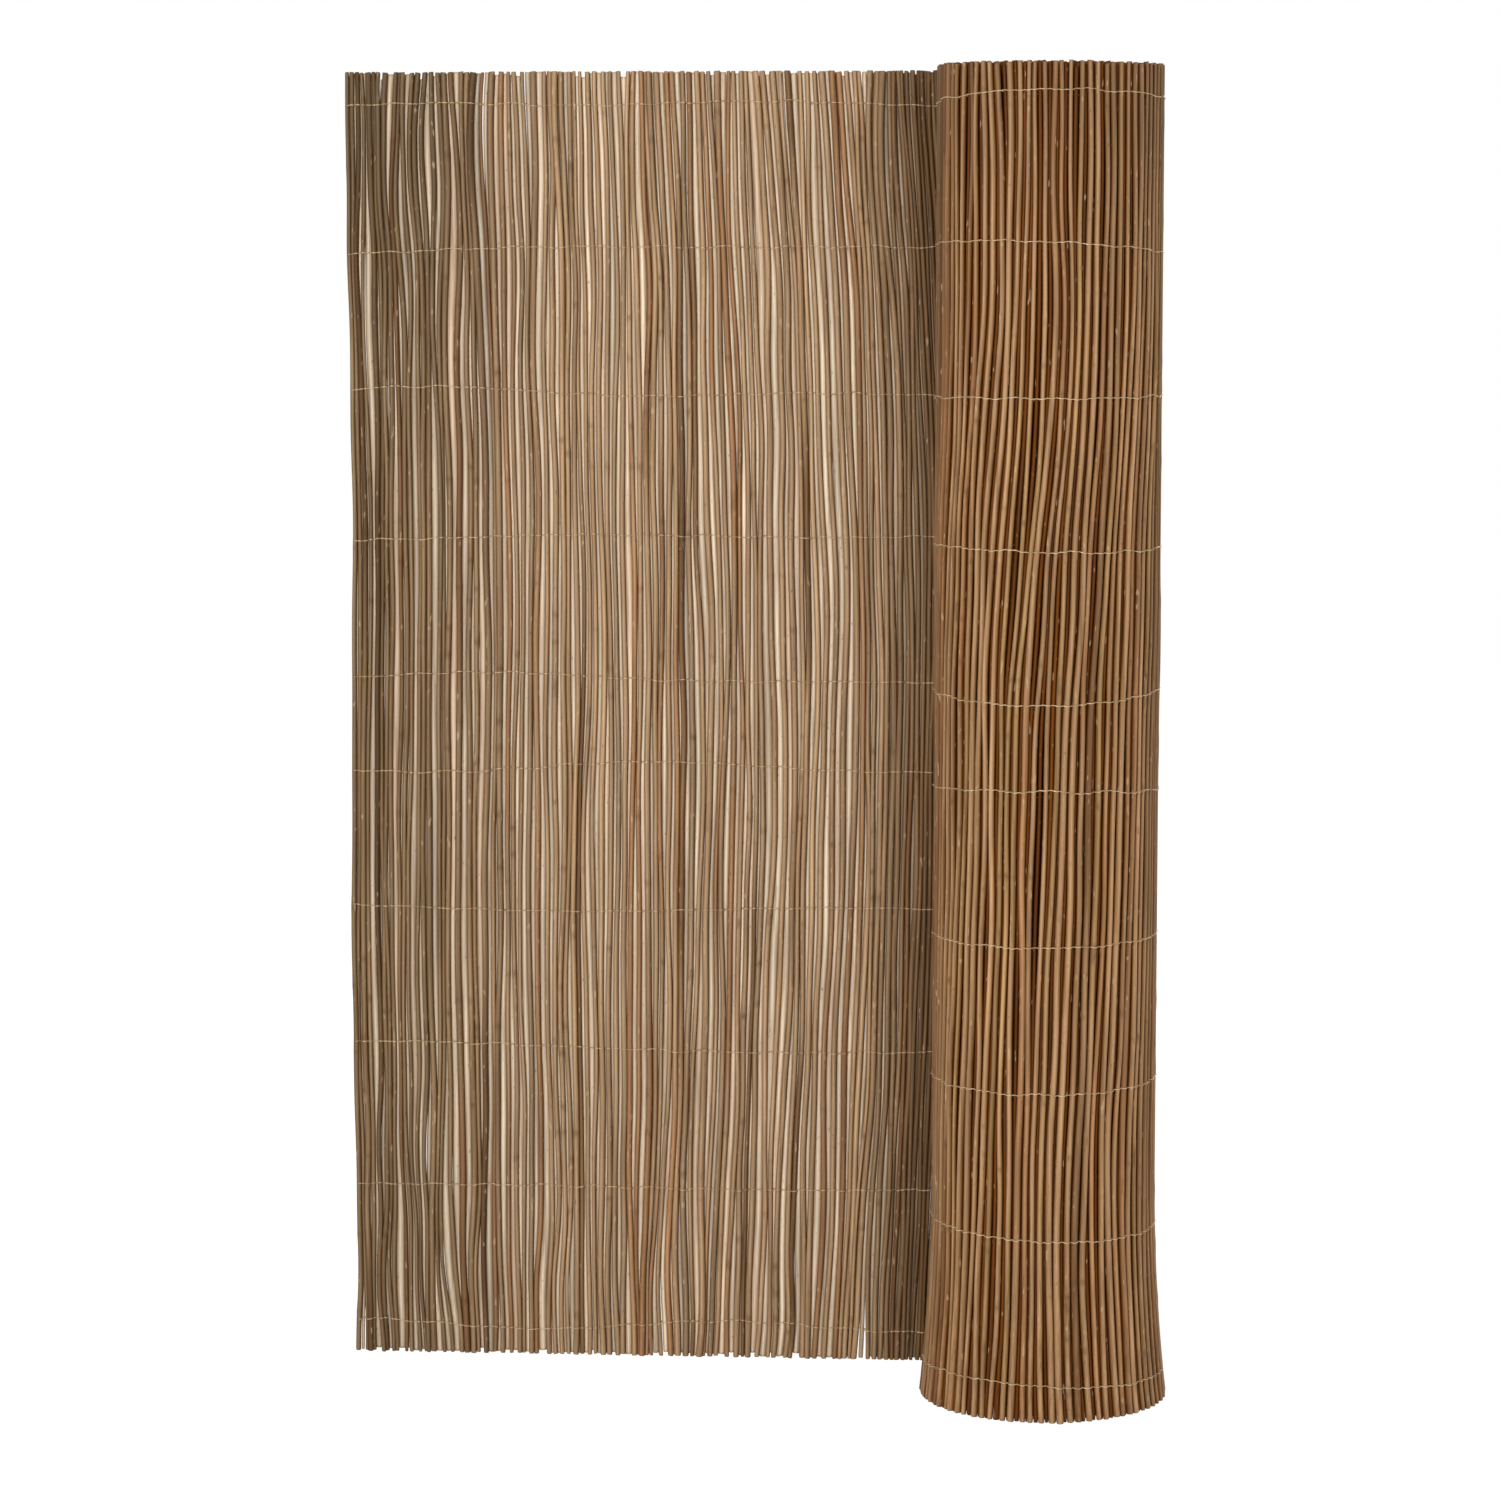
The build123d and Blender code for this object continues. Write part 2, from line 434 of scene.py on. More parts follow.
# %% Knots, taper and cut ends
TAPER = 0.14  # how far a rod's thickness strays from its mean, from butt to tip
KNOT_SWELL = 0.13
KNOTS = (4, 9)  # fewest on a rod, and one more than the most
KNOT_SIZES = (0.4, 1)
KNOT_MARGIN = 2  # levels without knots at both ends
END_SLANT = 0.15


@dataclass
class Run:
    """A run of rods: along the mat, out from its middle, radius, knots, cut ends and two colours."""

    along: np.ndarray
    proud: np.ndarray
    radius: np.ndarray
    marks: np.ndarray
    ends: tuple
    front: np.ndarray
    rear: np.ndarray


def knots(count, draw):
    """A value over 0 at the knots of so many rods, and 0 elsewhere."""
    marks = np.zeros((count, LEVELS))
    for rod in range(count):
        size = draw.uniform(*KNOT_SIZES)
        number = draw.integers(*KNOTS)
        marks[rod, draw.integers(KNOT_MARGIN, LEVELS - KNOT_MARGIN, number)] = size
    return marks


def thickness(widths, marks, butt_down, draw):
    """Radius of the rods at every level, swollen at the knots. A share of them has the butt at the foot."""
    thicker_up = np.where(draw.random(len(widths)) < butt_down, -1, 1)[:, None]
    taper = 1 + TAPER * thicker_up * (2 * levels / MAT_HEIGHT - 1)
    return widths[:, None] / 2 * taper * (1 + KNOT_SWELL * marks)


def cut_ends(count, foot_spread, top_spread, draw):
    """Height of the foot and the top of each rod, and the slant of its two cuts."""
    foot = np.abs(draw.normal(0, foot_spread, count))
    top = MAT_HEIGHT - np.abs(draw.normal(0, top_spread, count))
    return foot, top, draw.uniform(-END_SLANT, END_SLANT, (2, count))


print("a rod has", KNOTS[0], "to", KNOTS[1] - 1, "knots")

# %% [markdown]
# ## Colours of the rods
# The mat's front has weathered to a dull grey brown, and its rear, which is the outside of the roll, keeps
# a warmer brown. Noise in a single finish would spread over several rods at once, so each rod has a colour
# of its own at every level. Each run has a plain colour, and some rods take on another tint over a stretch
# of their length. Each rod is a little lighter or darker than the next, and changes slowly on its way up.

# %% Colours of the rods
EDGE_BARK = paint(150, 125, 95)  # dull front, at the free edge
LIGHT_BARK = paint(193, 162, 128)  # dull front, further on
WARM_BARK = paint(189, 151, 113)  # outside of the roll
# painted shade: the roll's inside and its inner turns are darker and warmer than its outside, for the shade
# within the roll
INNER_SHADE_BARK = paint(148, 97, 42)  # inside of the roll
# painted shade: the thin rods in the roll's hollows are coloured dark for the shade they lie in
HOLLOW_SHADE = paint(111, 61, 4)  # thin rods deep in the roll's hollows
REDDISH, GREYISH, DARKER = (0.88, 0.72, 0.61), (0.85, 0.87, 0.9), (0.5, 0.43, 0.36)
BROWNISH, PALER = (0.6, 0.52, 0.44), (1.2, 1.24, 1.3)
RUSSET, OLIVE = (0.93, 0.82, 0.74), (0.92, 0.94, 0.82)
WARM_TINTS = ((BROWNISH, 0.14), (PALER, 0.1), (RUSSET, 0.22), (OLIVE, 0.18))  # and the share of rods
TINT_SHARE, TINT_WAVES = 0.6, (0.4, 1.5)  # how much of its tint a rod shows, and how that changes
TONE_WAVES = (0.3, 1.2)


def rod_colours(plain, tints, spread, fade, draw):
    """Colour of each rod at every level: its plain one, tinted in stretches, lighter or darker."""
    count = len(plain)
    colours = np.tile(np.array(plain)[:, None, :], (1, LEVELS, 1))
    picked = draw.random(count)
    stretch = np.clip(TINT_SHARE + waves(count, TINT_WAVES, draw), 0, 1)[..., None]
    low = 0
    for tint, share in tints:
        rods = (picked >= low) & (picked < low + share)
        colours[rods] *= 1 + stretch[rods] * (np.array(tint) - 1)
        low += share
    tone = draw.normal(0, spread, (count, 1)) + fade * waves(count, TONE_WAVES, draw)
    return colours * np.exp(tone)[..., None]


def warm_colours(count, draw):
    """Colours of the mat's rear for so many rods."""
    return rod_colours(np.tile(WARM_BARK, (count, 1)), WARM_TINTS, spread=0.06, fade=0.06, draw=draw)


print("tinted rods on the mat's rear, as a share:", round(sum(share for _, share in WARM_TINTS), 2))

# %% [markdown]
# ## The unrolled rods' run
# In some places the rods touch, and in others they leave a slit, which opens and closes with height. Four
# bands of wider slits run up the mat, and a few pairs of rods part at their loose ends, which notches the
# top and the foot. Slits could be cut out of a wall, but rods that part leave them by themselves, with the
# right pointed ends. The front goes from dull at the free edge to lighter further on. Beside the roll it is
# painted darker, as the roll's shade, and it darkens towards the top and the foot of the rods near the free
# edge.

# %% Slits of the unrolled run
FLAT_SEED = 21
LIGHT_FROM, LIGHT_TO = 0.06, 0.17  # metres from the free edge
SHADY_FROM, SHADY_TO = 0.365, 0.437
END_REACH = 0.2  # how far from its ends a rod is darker and less straight
OPEN_SHARE, OPEN_SLIT, CLOSED_SLIT = 0.7, 0.12, -0.24
EDGE_OPEN_SHARE, EDGE_OPEN_SLIT, EDGE_CLOSED_SLIT = 0.42, 0.42, -0.32  # the same, at the free edge
WIDE_BANDS, WIDE_SLIT, WIDE_REACH = (0.143, 0.272, 0.305, 0.347), 0.34, 0.008
NOTCHES, NOTCH_SLIT, NOTCH_DEPTH = (0.138, 0.2, 0.277, 0.322, 0.375), 1.3, 0.022

draw = np.random.default_rng(FLAT_SEED)
light = np.interp(flat_places, (LIGHT_FROM, LIGHT_TO), (0, 1))[:, None]


def from_edge(at_edge, further_on):
    """Value for each slit, from one at the free edge to another where the front is light."""
    return at_edge + (further_on - at_edge) * light[1:]


open_share = from_edge(EDGE_OPEN_SHARE, OPEN_SHARE)[:, 0]
open_slit = from_edge(EDGE_OPEN_SLIT, OPEN_SLIT)[:, 0]
closed_slit = from_edge(EDGE_CLOSED_SLIT, CLOSED_SLIT)[:, 0]
open_here = draw.random(flat_count - 1) < open_share * (flat_places[1:] < SHADY_FROM)
in_band = sum(np.exp(-(((flat_places[1:] - band) / WIDE_REACH) ** 2)) for band in WIDE_BANDS)
openness = np.where(open_here, open_slit, closed_slit) + WIDE_SLIT * in_band
openness = np.tile(openness[:, None], LEVELS)
loose = np.exp(-np.minimum(levels, MAT_HEIGHT - levels) / NOTCH_DEPTH)
openness[np.searchsorted(flat_places, NOTCHES)] += NOTCH_SLIT * loose
print(open_here.sum(), "of", flat_count - 1, "slits are open")

# %% The unrolled rods
SLIT_CHANGE, SLIT_FLUTTER = 0.19, 0.03
CROSSING, EDGE_CROSSING, WEAVE = 0.7, 1.9, 6.0  # how much more the slits change near the rods' ends
THINNER = 0.88  # width of a rod, as a share of its CAD rod's
EDGE_SWAY, EDGE_SWAY_WAVES = 0.0012, (0.4, 0.9)

from_top, from_foot = (np.exp(-((way / END_REACH) ** 2)) for way in (MAT_HEIGHT - levels, levels))
near_end = np.maximum(from_top, from_foot)
crossing = 1 + from_edge(EDGE_CROSSING, CROSSING) * near_end
weaving = 1 + WEAVE * (1 - light[1:]) * near_end
sway = EDGE_SWAY * (1 - flat_places[:, None] / FLAT_LENGTH) * waves(1, EDGE_SWAY_WAVES, draw)
flat_along = wander(flat_places, openness, SLIT_CHANGE * crossing, SLIT_FLUTTER * weaving, draw)
flat_along += sway + shared_lean(flat_places)
flat_marks = knots(flat_count, draw)
flat_radius = thickness(flat_widths * THINNER, flat_marks, butt_down=0.5, draw=draw)
flat_proud = make_way(flat_along, flat_radius)
slits = np.diff(flat_along, axis=0) - flat_radius[1:] - flat_radius[:-1]
open_part = np.maximum(slits, 0).sum() / LEVELS / FLAT_LENGTH
print("open", round(open_part, 3), "of the run, widest slit", round(slits.max(), 4))

# %% The unrolled rods' colours and ends
# painted shade of the roll: the colour of the unrolled rods and the split rods is darkened beside it
SHADY = np.array((0.28, 0.22, 0.15))  # how much of the colour is left beside the roll
DARK_TOP, DARK_FOOT = 0.34, 0.06
FLAT_TINTS = ((REDDISH, 0.2), (GREYISH, 0.12), (DARKER, 0.1))

# painted shade: how far each rod lies in the roll's shade
beside_roll = np.interp(flat_places, (SHADY_FROM, SHADY_TO), (0, 1))[:, None, None]
shade_of_roll = 1 - beside_roll * (1 - SHADY)
dark_ends = (1 - (1 - light) * (DARK_TOP * from_top + DARK_FOOT * from_foot))[..., None]
flat_plain = np.array(EDGE_BARK) * (1 - light) + np.array(LIGHT_BARK) * light
flat_front = rod_colours(flat_plain, FLAT_TINTS, spread=0.07, fade=0.07, draw=draw)
flat_front *= shade_of_roll * dark_ends
flat_ends = cut_ends(flat_count, foot_spread=0.0004, top_spread=0.0004, draw=draw)
flat_rear = warm_colours(flat_count, draw)
flat = Run(flat_along, flat_proud, flat_radius, flat_marks, flat_ends, flat_front, flat_rear)
print("unrolled rods up to", round(2 * flat_radius.max(), 4), "thick")

# %% [markdown]
# ## Thin rods in the hollows
# Thinner rods fill the hollows between two thick ones. Such a rod lies against both neighbours, on one
# face of the mat, and sinks further in where they part. A fixed depth would leave it in the air or cut it
# into its neighbours. Here the depth follows from the three radii, so that the rods touch.

# %% Thin rods in the hollows
MOST_DEPTH = 0.0045
REAR, FRONT = 1, -1  # faces of the mat


def half_gaps(run, before, turn):
    """Half the way from some rods to the next at every level, and how far proud they are in between."""
    between = (run.proud[before + 1] + run.proud[before]) / 2
    return (run.along[before + 1] - run.along[before]) / 2 * (1 + between / turn), between


def hollow_run(run, turn, before, radius, side, least_depth, ends, front, rear):
    """Thin rods on one face of the mat, each in the hollow after one of a run's rods."""
    half_gap, between = half_gaps(run, before, turn)
    depths = []
    for rods in (before, before + 1):
        apart = np.sqrt(np.maximum((run.radius[rods] + radius) ** 2 - half_gap**2, 0))
        depths.append(side * (run.proud[rods] - between) + apart)
    depth = np.clip(evened(np.maximum(*depths)), least_depth, MOST_DEPTH)
    along = (run.along[before] + run.along[before + 1]) / 2
    return Run(along, between + side * depth, radius, np.zeros_like(radius), ends, front, rear)


print("thin rods lie within", MOST_DEPTH, "m of the mat's middle")

# %% [markdown]
# ## Split rods behind the slits
# Split rods stand behind the slits of the unrolled run, with their pale wood forwards and the bark to the
# rear. They show as cream lines between the brown rods, which come to a point wherever two neighbours
# close up. Pale stripes in the finish would stay the same width from every side, and rods don't. Each is a
# little wider than its slit at the widest.

# %% Split rods behind the slits
SPLIT_SEED = 3
SPLIT_FROM = 0.0006  # a slit that stays narrower than this has no split rod behind it
SPLIT_LAP = 0.0014  # how much wider than its slit the rod is
SPLIT_DEPTH = 0.0012
LOOSE_LEVELS = 6  # at both ends, where a slit isn't measured
SPLIT_WOOD = paint(243, 226, 203)
PINKISH = (0.96, 0.89, 0.86)
SPLIT_TINTS = ((GREYISH, 0.15), (PINKISH, 0.25))
DULL_EDGE_WOOD = 0.82

draw = np.random.default_rng(SPLIT_SEED)
widest = slits[:, LOOSE_LEVELS:-LOOSE_LEVELS].max(axis=1)
before_split = np.flatnonzero(widest > SPLIT_FROM)
split_count = len(before_split)
duller = DULL_EDGE_WOOD + (1 - DULL_EDGE_WOOD) * light[before_split]
split_plain = np.tile(SPLIT_WOOD, (split_count, 1)) * duller
split_front = rod_colours(split_plain, SPLIT_TINTS, spread=0.06, fade=0.05, draw=draw)
split_front *= shade_of_roll[before_split]
split_rear = warm_colours(split_count, draw)
split_ends = cut_ends(split_count, foot_spread=0.0015, top_spread=0.002, draw=draw)
split_widths = widest[before_split] + SPLIT_LAP
split_radius = np.tile(split_widths[:, None] / 2, LEVELS)
split_looks = (split_ends, split_front, split_rear)
split = hollow_run(flat, math.inf, before_split, split_radius, REAR, SPLIT_DEPTH, *split_looks)
print(split_count, "split rods, up to", round(split_widths.max(), 4), "thick")

# %% [markdown]
# ## The rolled rods' run
# The roll stands on a slightly wider foot: the lowest hand's breadth of its outer turns leans outwards,
# except at the rear, where the mat leaves it. Scaling the whole foot would push the turns into each other,
# so turns further in lean less. Most rods have their butt at the foot. Thin rods fill the hollows on the
# inside of the mat, so hardly any light comes through it, and at the foot they come out between the others.
# Their dark brown is painted shade of the hollows. The roll's inside and inner turns are painted darker
# than its outside as its shade, and so are its top and the flank that faces the unrolled run.

# %% The rolled rods
ROLLED_SEED = 8
ROLLED_ROD_WIDTH = 0.0045
ROLLED_WIDTH_SPREAD = 0.1
THICKEST_ROD = 1.1 * ROD_DEPTH
OUTER_LAP = 4  # rods past a full turn that count as outer ones
OUTER_CHANGE, INNER_CHANGE, OUTER_FLUTTER = 0.16, 0.07, 0.03

draw = np.random.default_rng(ROLLED_SEED)
outer_count = round(2 * math.pi * TURN_RADIUS / rolled_pitch) + OUTER_LAP
rolled_widths = ROLLED_ROD_WIDTH * (1 + ROLLED_WIDTH_SPREAD * draw.normal(0, 1, rolled_count).clip(-2, 1))
rolled_marks = knots(rolled_count, draw)
rolled_marks[outer_count:] = 0
rolled_radius = thickness(rolled_widths, rolled_marks, butt_down=0.85, draw=draw)
rolled_radius = np.minimum(rolled_radius, THICKEST_ROD / 2)
outside = (np.arange(rolled_count - 1) < outer_count)[:, None]
change = np.where(outside, OUTER_CHANGE, INNER_CHANGE)
rolled_along = wander(rolled_places, 0, change, OUTER_FLUTTER * outside, draw)
rolled_along += shared_lean(rolled_places)
print(outer_count, "rods in the outer turn")

# %% The roll's foot
FOOT_LEAN = 0.0105
LEAN_HEIGHT = 0.17
LEAN_TURN = 1.2  # radians after which the foot leans in full
LEANING_TURNS = 4.0


def turned_at(distance):
    """Angle that the mat has turned through at distances along it."""
    return np.pi * np.interp(distance, turn_starts, np.arange(HALF_TURNS))


def foot_lean(distance):
    """How far the roll's foot leans out at distances along the mat, at every level."""
    turned = turned_at(distance)
    round_the_front = np.clip((1 - np.cos(turned)) / (1 - math.cos(LEAN_TURN)), 0, 1)
    outer = np.clip(1 - turned / (2 * np.pi * LEANING_TURNS), 0, 1)
    return FOOT_LEAN * round_the_front * outer * np.maximum(1 - levels / LEAN_HEIGHT, 0) ** 2


rolled_proud = foot_lean(rolled_along) + 2 * np.maximum(make_way(rolled_along, rolled_radius), 0)
print("rods stand out from the roll by up to", round(rolled_proud.max(), 4))

# %% The rolled rods' colours and ends
# painted shade: the roll's top, and its flank that faces the unrolled run, are made darker
SHADY_TOP, SHADY_TOP_REACH = 0.2, 0.12
FLANK_TURN = 1.5 * math.pi  # where the roll faces the unrolled stretch
SHADY_FLANK, SHADY_FLANK_REACH = 0.42, 0.38  # how much darker it is there, and over how many radians

rolled_rear = warm_colours(rolled_count, draw)
# painted shade: the inner turns take the darker colour of the roll's inside
rolled_rear[outer_count:] *= np.array(INNER_SHADE_BARK) / np.array(WARM_BARK)
rolled_rear *= (1 - SHADY_TOP * np.exp(-(((MAT_HEIGHT - levels) / SHADY_TOP_REACH) ** 2)))[:, None]
at_flank = np.exp(-(((turned_at(rolled_places) - FLANK_TURN) / SHADY_FLANK_REACH) ** 2))
rolled_rear *= (1 - SHADY_FLANK * at_flank)[:, None, None]
rolled_front = rod_colours(np.tile(INNER_SHADE_BARK, (rolled_count, 1)), (), spread=0.1, fade=0.05, draw=draw)
rolled_ends = cut_ends(rolled_count, foot_spread=0.0002, top_spread=0.0012, draw=draw)
rolled_looks = (rolled_ends, rolled_front, rolled_rear)
rolled = Run(rolled_along, rolled_proud, rolled_radius, rolled_marks, *rolled_looks)
print("rolled rods up to", round(2 * rolled_radius.max(), 4), "thick")

# %% Thin rods in the roll
FILLER_WIDTH, FILLER_SPREAD = 0.0033, (0.85, 1.1)
FILLER_DEPTH, FILLER_FOOT = 0.0015, 0.04
THINNEST, THICKEST = 0.0014, 0.0056  # of a thin rod's foot

filler_count = rolled_count - 1
every_hollow = np.arange(filler_count)
filler_radius = FILLER_WIDTH / 2 * draw.uniform(*FILLER_SPREAD, (filler_count, 1))
half_slits = half_gaps(rolled, every_hollow, TURN_RADIUS)[0] - (rolled_radius[1:] + rolled_radius[:-1]) / 2
at_foot = np.exp(-((levels / FILLER_FOOT) ** 2))
filler_radius = filler_radius + at_foot * (half_slits.clip(THINNEST / 2, THICKEST / 2) - filler_radius)
# painted shade: the thin rods are dark brown for the shade in the hollows
filler_colours = rod_colours(np.tile(HOLLOW_SHADE, (filler_count, 1)), (), spread=0.1, fade=0.05, draw=draw)
filler_ends = cut_ends(filler_count, foot_spread=0.0002, top_spread=0.002, draw=draw)
least_depth = FILLER_DEPTH * (1 - at_foot)
filler_looks = (filler_ends, filler_colours, filler_colours)
filler = hollow_run(rolled, TURN_RADIUS, every_hollow, filler_radius, FRONT, least_depth, *filler_looks)
print(filler_count, "thin rods, up to", round(2 * filler_radius.max(), 4), "thick")

# %% [markdown]
# ## Bark
# Willow bark is thin and silky. It has fine streaks along the rod, paler scars where a twig was rubbed
# off, and dark specks round the knots. Painted pictures of bark would need a map for each rod. Here each
# rod brings its own colour as an attribute of its vertices, and stretched noise on Object coordinates adds
# the streaks, so they follow the rods and need no map.

# %% Bark
KNOT_BROWN = paint(82, 54, 32)
SCAR_WOOD = paint(214, 184, 146)
DARK_STREAK, LIGHT_STREAK = (0.62, 0.56, 0.50), (1.18, 1.17, 1.15)
BROAD_SHARE = 0.6  # of the broad streaks, against the fine ones
KNOT_STAIN, SCAR_SHOWS, SPECK_SHOWS = 0.5, 0.5, 0.55

willow_bark, tree = new_material("willow_bark")
rod_colour = tree.node("ShaderNodeAttribute", {"attribute_name": "bark"})
knot = tree.node("ShaderNodeAttribute", {"attribute_name": "knot"}, output="Fac")
broad = grain(tree, across=330, up=7)
fine = grain(tree, across=1500, up=26, detail=3.0)
specks = grain(tree, across=620, up=210)
scars = grain(tree, across=420, up=95, detail=1.0)


def tinted(colour, tint):
    """A colour multiplied by a tint."""
    settings = {"data_type": "RGBA", "blend_type": "MULTIPLY"}
    inputs = {MIX_SHARE: 1.0, MIX_FIRST: colour, MIX_SECOND: (*tint, 1)}
    return colour.node("ShaderNodeMix", settings, inputs, MIX_RESULT)


streaks = rise(broad * BROAD_SHARE + fine * (1 - BROAD_SHARE), 0.36, 0.64)
streaked = blend(streaks, tinted(rod_colour, DARK_STREAK), tinted(rod_colour, LIGHT_STREAK))
knotted = blend(rise(knot * (0.4 + specks), 0.45, 0.95) * KNOT_STAIN, streaked, KNOT_BROWN)
scarred = blend(rise(scars, 0.70, 0.75) * SCAR_SHOWS, knotted, SCAR_WOOD)
speckled = blend(rise(specks, 0.68, 0.76) * SPECK_SHOWS, scarred, KNOT_BROWN)
furrows = tree.node("ShaderNodeBump", {}, {"Strength": 0.35, "Distance": 0.0004, "Height": fine + broad})
bark = tree.node("ShaderNodeBsdfPrincipled", {}, {
    "Base Color": speckled,
    "Roughness": 0.42 + 0.2 * streaks,
    "Normal": furrows,
    "Specular IOR Level": 0.15,
})
close_material(willow_bark, tree, bark)

# %% [markdown]
# ## Cut ends
# The rods are sheared to length, and the cut shows pale wood round a small pith, with the bark as a thin
# dark rim. Rings could be modelled, but they are finer than the mesh. So the distance from the rod's
# middle is an attribute of the end's vertices, 0 at the middle and 1 at the rim, and the finish reads it.

# %% Cut ends
CUT_WOOD = paint(206, 178, 138)
OLD_CUT = paint(150, 118, 84)
PITH = paint(120, 84, 54)
RIM_BARK = paint(92, 66, 42)

cut_willow, tree = new_material("cut_willow")
from_middle = tree.node("ShaderNodeAttribute", {"attribute_name": "from_middle"}, output="Fac")
weather = grain(tree, across=240, up=240)
wood = blend(rise(weather, 0.35, 0.65), CUT_WOOD, OLD_CUT)
with_pith = blend(1 - rise(from_middle, 0.14, 0.28), wood, PITH)
with_rim = blend(rise(from_middle, 0.80, 0.92), with_pith, RIM_BARK)
end_face = tree.node("ShaderNodeBsdfPrincipled", {}, {
    "Base Color": with_rim,
    "Roughness": 0.7 + 0.2 * weather,
})
close_material(cut_willow, tree, end_face)

# %% [markdown]
# ## One rod as a pattern piece
# Every rod is a copy of one simple rod: a cylinder, cut into steps by subdividing its upright edges,
# with a small chamfer at both rims and a middle vertex in both ends. A curve with a round bevel could be a
# rod too, but a mesh that is one unit in radius, and one unit tall for each step, lets a vertex say by
# itself which level it belongs to. The rod also carries a map for baking, in which its skin is a strip
# and its two ends are small discs below and above it.

# %% The pattern's map for baking
BAKE_MAP = "OFBake"
CAP_ROOM = 0.04  # height of the map that is kept for an end
DISC = 0.45  # radius of an end's disc, as a share of its room


def strip_map(bm, tall):
    """Lays the skin out as an upright strip and the ends as discs, each filling the map's width."""
    layer = bm.loops.layers.uv.new(BAKE_MAP)
    for face in bm.faces:
        middle = face.calc_center_median()
        for loop in face.loops:
            corner = loop.vert.co
            if face.material_index == 1:
                end = CAP_ROOM / 2 if middle.z < tall / 2 else 1 - CAP_ROOM / 2
                loop[layer].uv = (0.5 + DISC * corner.x, end + DISC * CAP_ROOM * corner.y)
            else:
                round_middle = math.atan2(middle.y, middle.x) / (2 * math.pi) % 1
                off = math.atan2(corner.y, corner.x) / (2 * math.pi) - round_middle
                up = CAP_ROOM + corner.z / tall * (1 - 2 * CAP_ROOM)
                loop[layer].uv = (round_middle + (off + 0.5) % 1 - 0.5, up)


print("the two ends take", 2 * CAP_ROOM, "of the map's height")

# %% One rod as a pattern piece
RIM_CHAMFER = 0.1
NEAR_SIDES, FAR_SIDES = 8, 6
THIN_STEP, FAR_STEP = 2, 16  # levels to a step of a rod that is half hidden, or deep in the roll


def at_end(face):
    """True of a face that looks up or down, as those of the two ends do."""
    return abs(face.normal.z) > 0.9


def rod_pattern(name, sides, steps):
    """A unit rod with so many sides and steps, as a mesh."""
    bm = bmesh.new()
    bmesh.ops.create_cone(bm, cap_ends=True, segments=sides, radius1=1, radius2=1, depth=steps)
    bmesh.ops.translate(bm, verts=bm.verts, vec=(0, 0, steps / 2))
    uprights = [edge for edge in bm.edges if edge.calc_length() > steps / 2]
    bmesh.ops.subdivide_edges(bm, edges=uprights, cuts=steps - 1, use_grid_fill=True)
    rims = [edge for edge in bm.edges if any(at_end(face) for face in edge.link_faces)]
    bmesh.ops.bevel(bm, geom=rims, offset=RIM_CHAMFER, affect="EDGES", segments=1, profile=0.5, material=-1)
    for face in bm.faces:
        face.smooth = True
    ends = [face for face in bm.faces if at_end(face)]
    for face in bmesh.ops.poke(bm, faces=ends)["faces"]:
        face.smooth = False
        face.material_index = 1
    strip_map(bm, steps)
    mesh = bpy.data.meshes.new(name)
    bm.to_mesh(mesh)
    bm.free()
    return mesh


near_pattern = rod_pattern("near_rod", NEAR_SIDES, LEVELS - 1)
thin_pattern = rod_pattern("thin_rod", FAR_SIDES, (LEVELS - 1) // THIN_STEP)
far_pattern = rod_pattern("far_rod", FAR_SIDES, (LEVELS - 1) // FAR_STEP)
for pattern in (near_pattern, thin_pattern, far_pattern):
    print(pattern.name, len(pattern.polygons), "faces")

# %% [markdown]
# ## Standing the rods up
# The pattern is copied once for each rod, and then every copy's vertices move at once: along the mat,
# out from its middle and up, by the values grown above. A Curve modifier on each rod could bend it as well,
# but hundreds of modifiers are slow. Several pieces share the rods, so that no piece is too heavy and
# each has enough room in its own map for the bark's detail.

# %% Copies of the pattern
STRIP_MARGIN = 0.04  # free edge on both sides of a rod's strip, as a share of its room


def read(items, name, width):
    """Values of all vertices or loops of a mesh, one row each."""
    values = np.empty(len(items) * width)
    items.foreach_get(name, values)
    return values.reshape(-1, width)


def copies_of(pattern, name, count):
    """A mesh with so many copies of the pattern rod, side by side in the baking map."""
    bm = bmesh.new()
    for _ in range(count):
        bm.from_mesh(pattern)
    mesh = bpy.data.meshes.new(name)
    bm.to_mesh(mesh)
    bm.free()
    spots = read(mesh.uv_layers[BAKE_MAP].data, "uv", 2).reshape(count, -1, 2)
    in_strip = STRIP_MARGIN + (1 - 2 * STRIP_MARGIN) * spots[..., 0]
    spots[..., 0] = (np.arange(count)[:, None] + in_strip) / count
    mesh.uv_layers[BAKE_MAP].data.foreach_set("uv", spots.ravel())
    return mesh


print("a rod's strip fills", 1 - 2 * STRIP_MARGIN, "of its room in the map")

# %% Bending the copies
def level_of(unit):
    """Level that each vertex of a unit rod belongs to."""
    return np.rint(unit[:, 2] / unit[:, 2].max() * (LEVELS - 1)).astype(int)


def bent_copies(unit, run, rods):
    """Places of all vertices of the copies of a unit rod, each bent to the growth of its own rod."""
    tall = unit[:, 2].max()
    level = level_of(unit)
    thick = run.radius[rods][:, level]
    middle, rear = mat_frame(run.along[rods][:, level])
    onward = np.stack((rear[..., 1], -rear[..., 0]), axis=-1)
    aside = (thick * unit[:, 0])[..., None] * onward
    out = (run.proud[rods][:, level] + thick * unit[:, 1])[..., None] * rear
    foot, top, slants = (each[..., rods, None] for each in run.ends)
    at_foot, at_top = unit[:, 2] < 0.5, unit[:, 2] > tall - 0.5
    slope = (slants[0] * at_foot + slants[1] * at_top) * thick * unit[:, 0]
    height = np.maximum(foot + (top - foot) * unit[:, 2] / tall + slope, 0)
    return np.concatenate((middle + aside + out, height[..., None]), axis=-1)


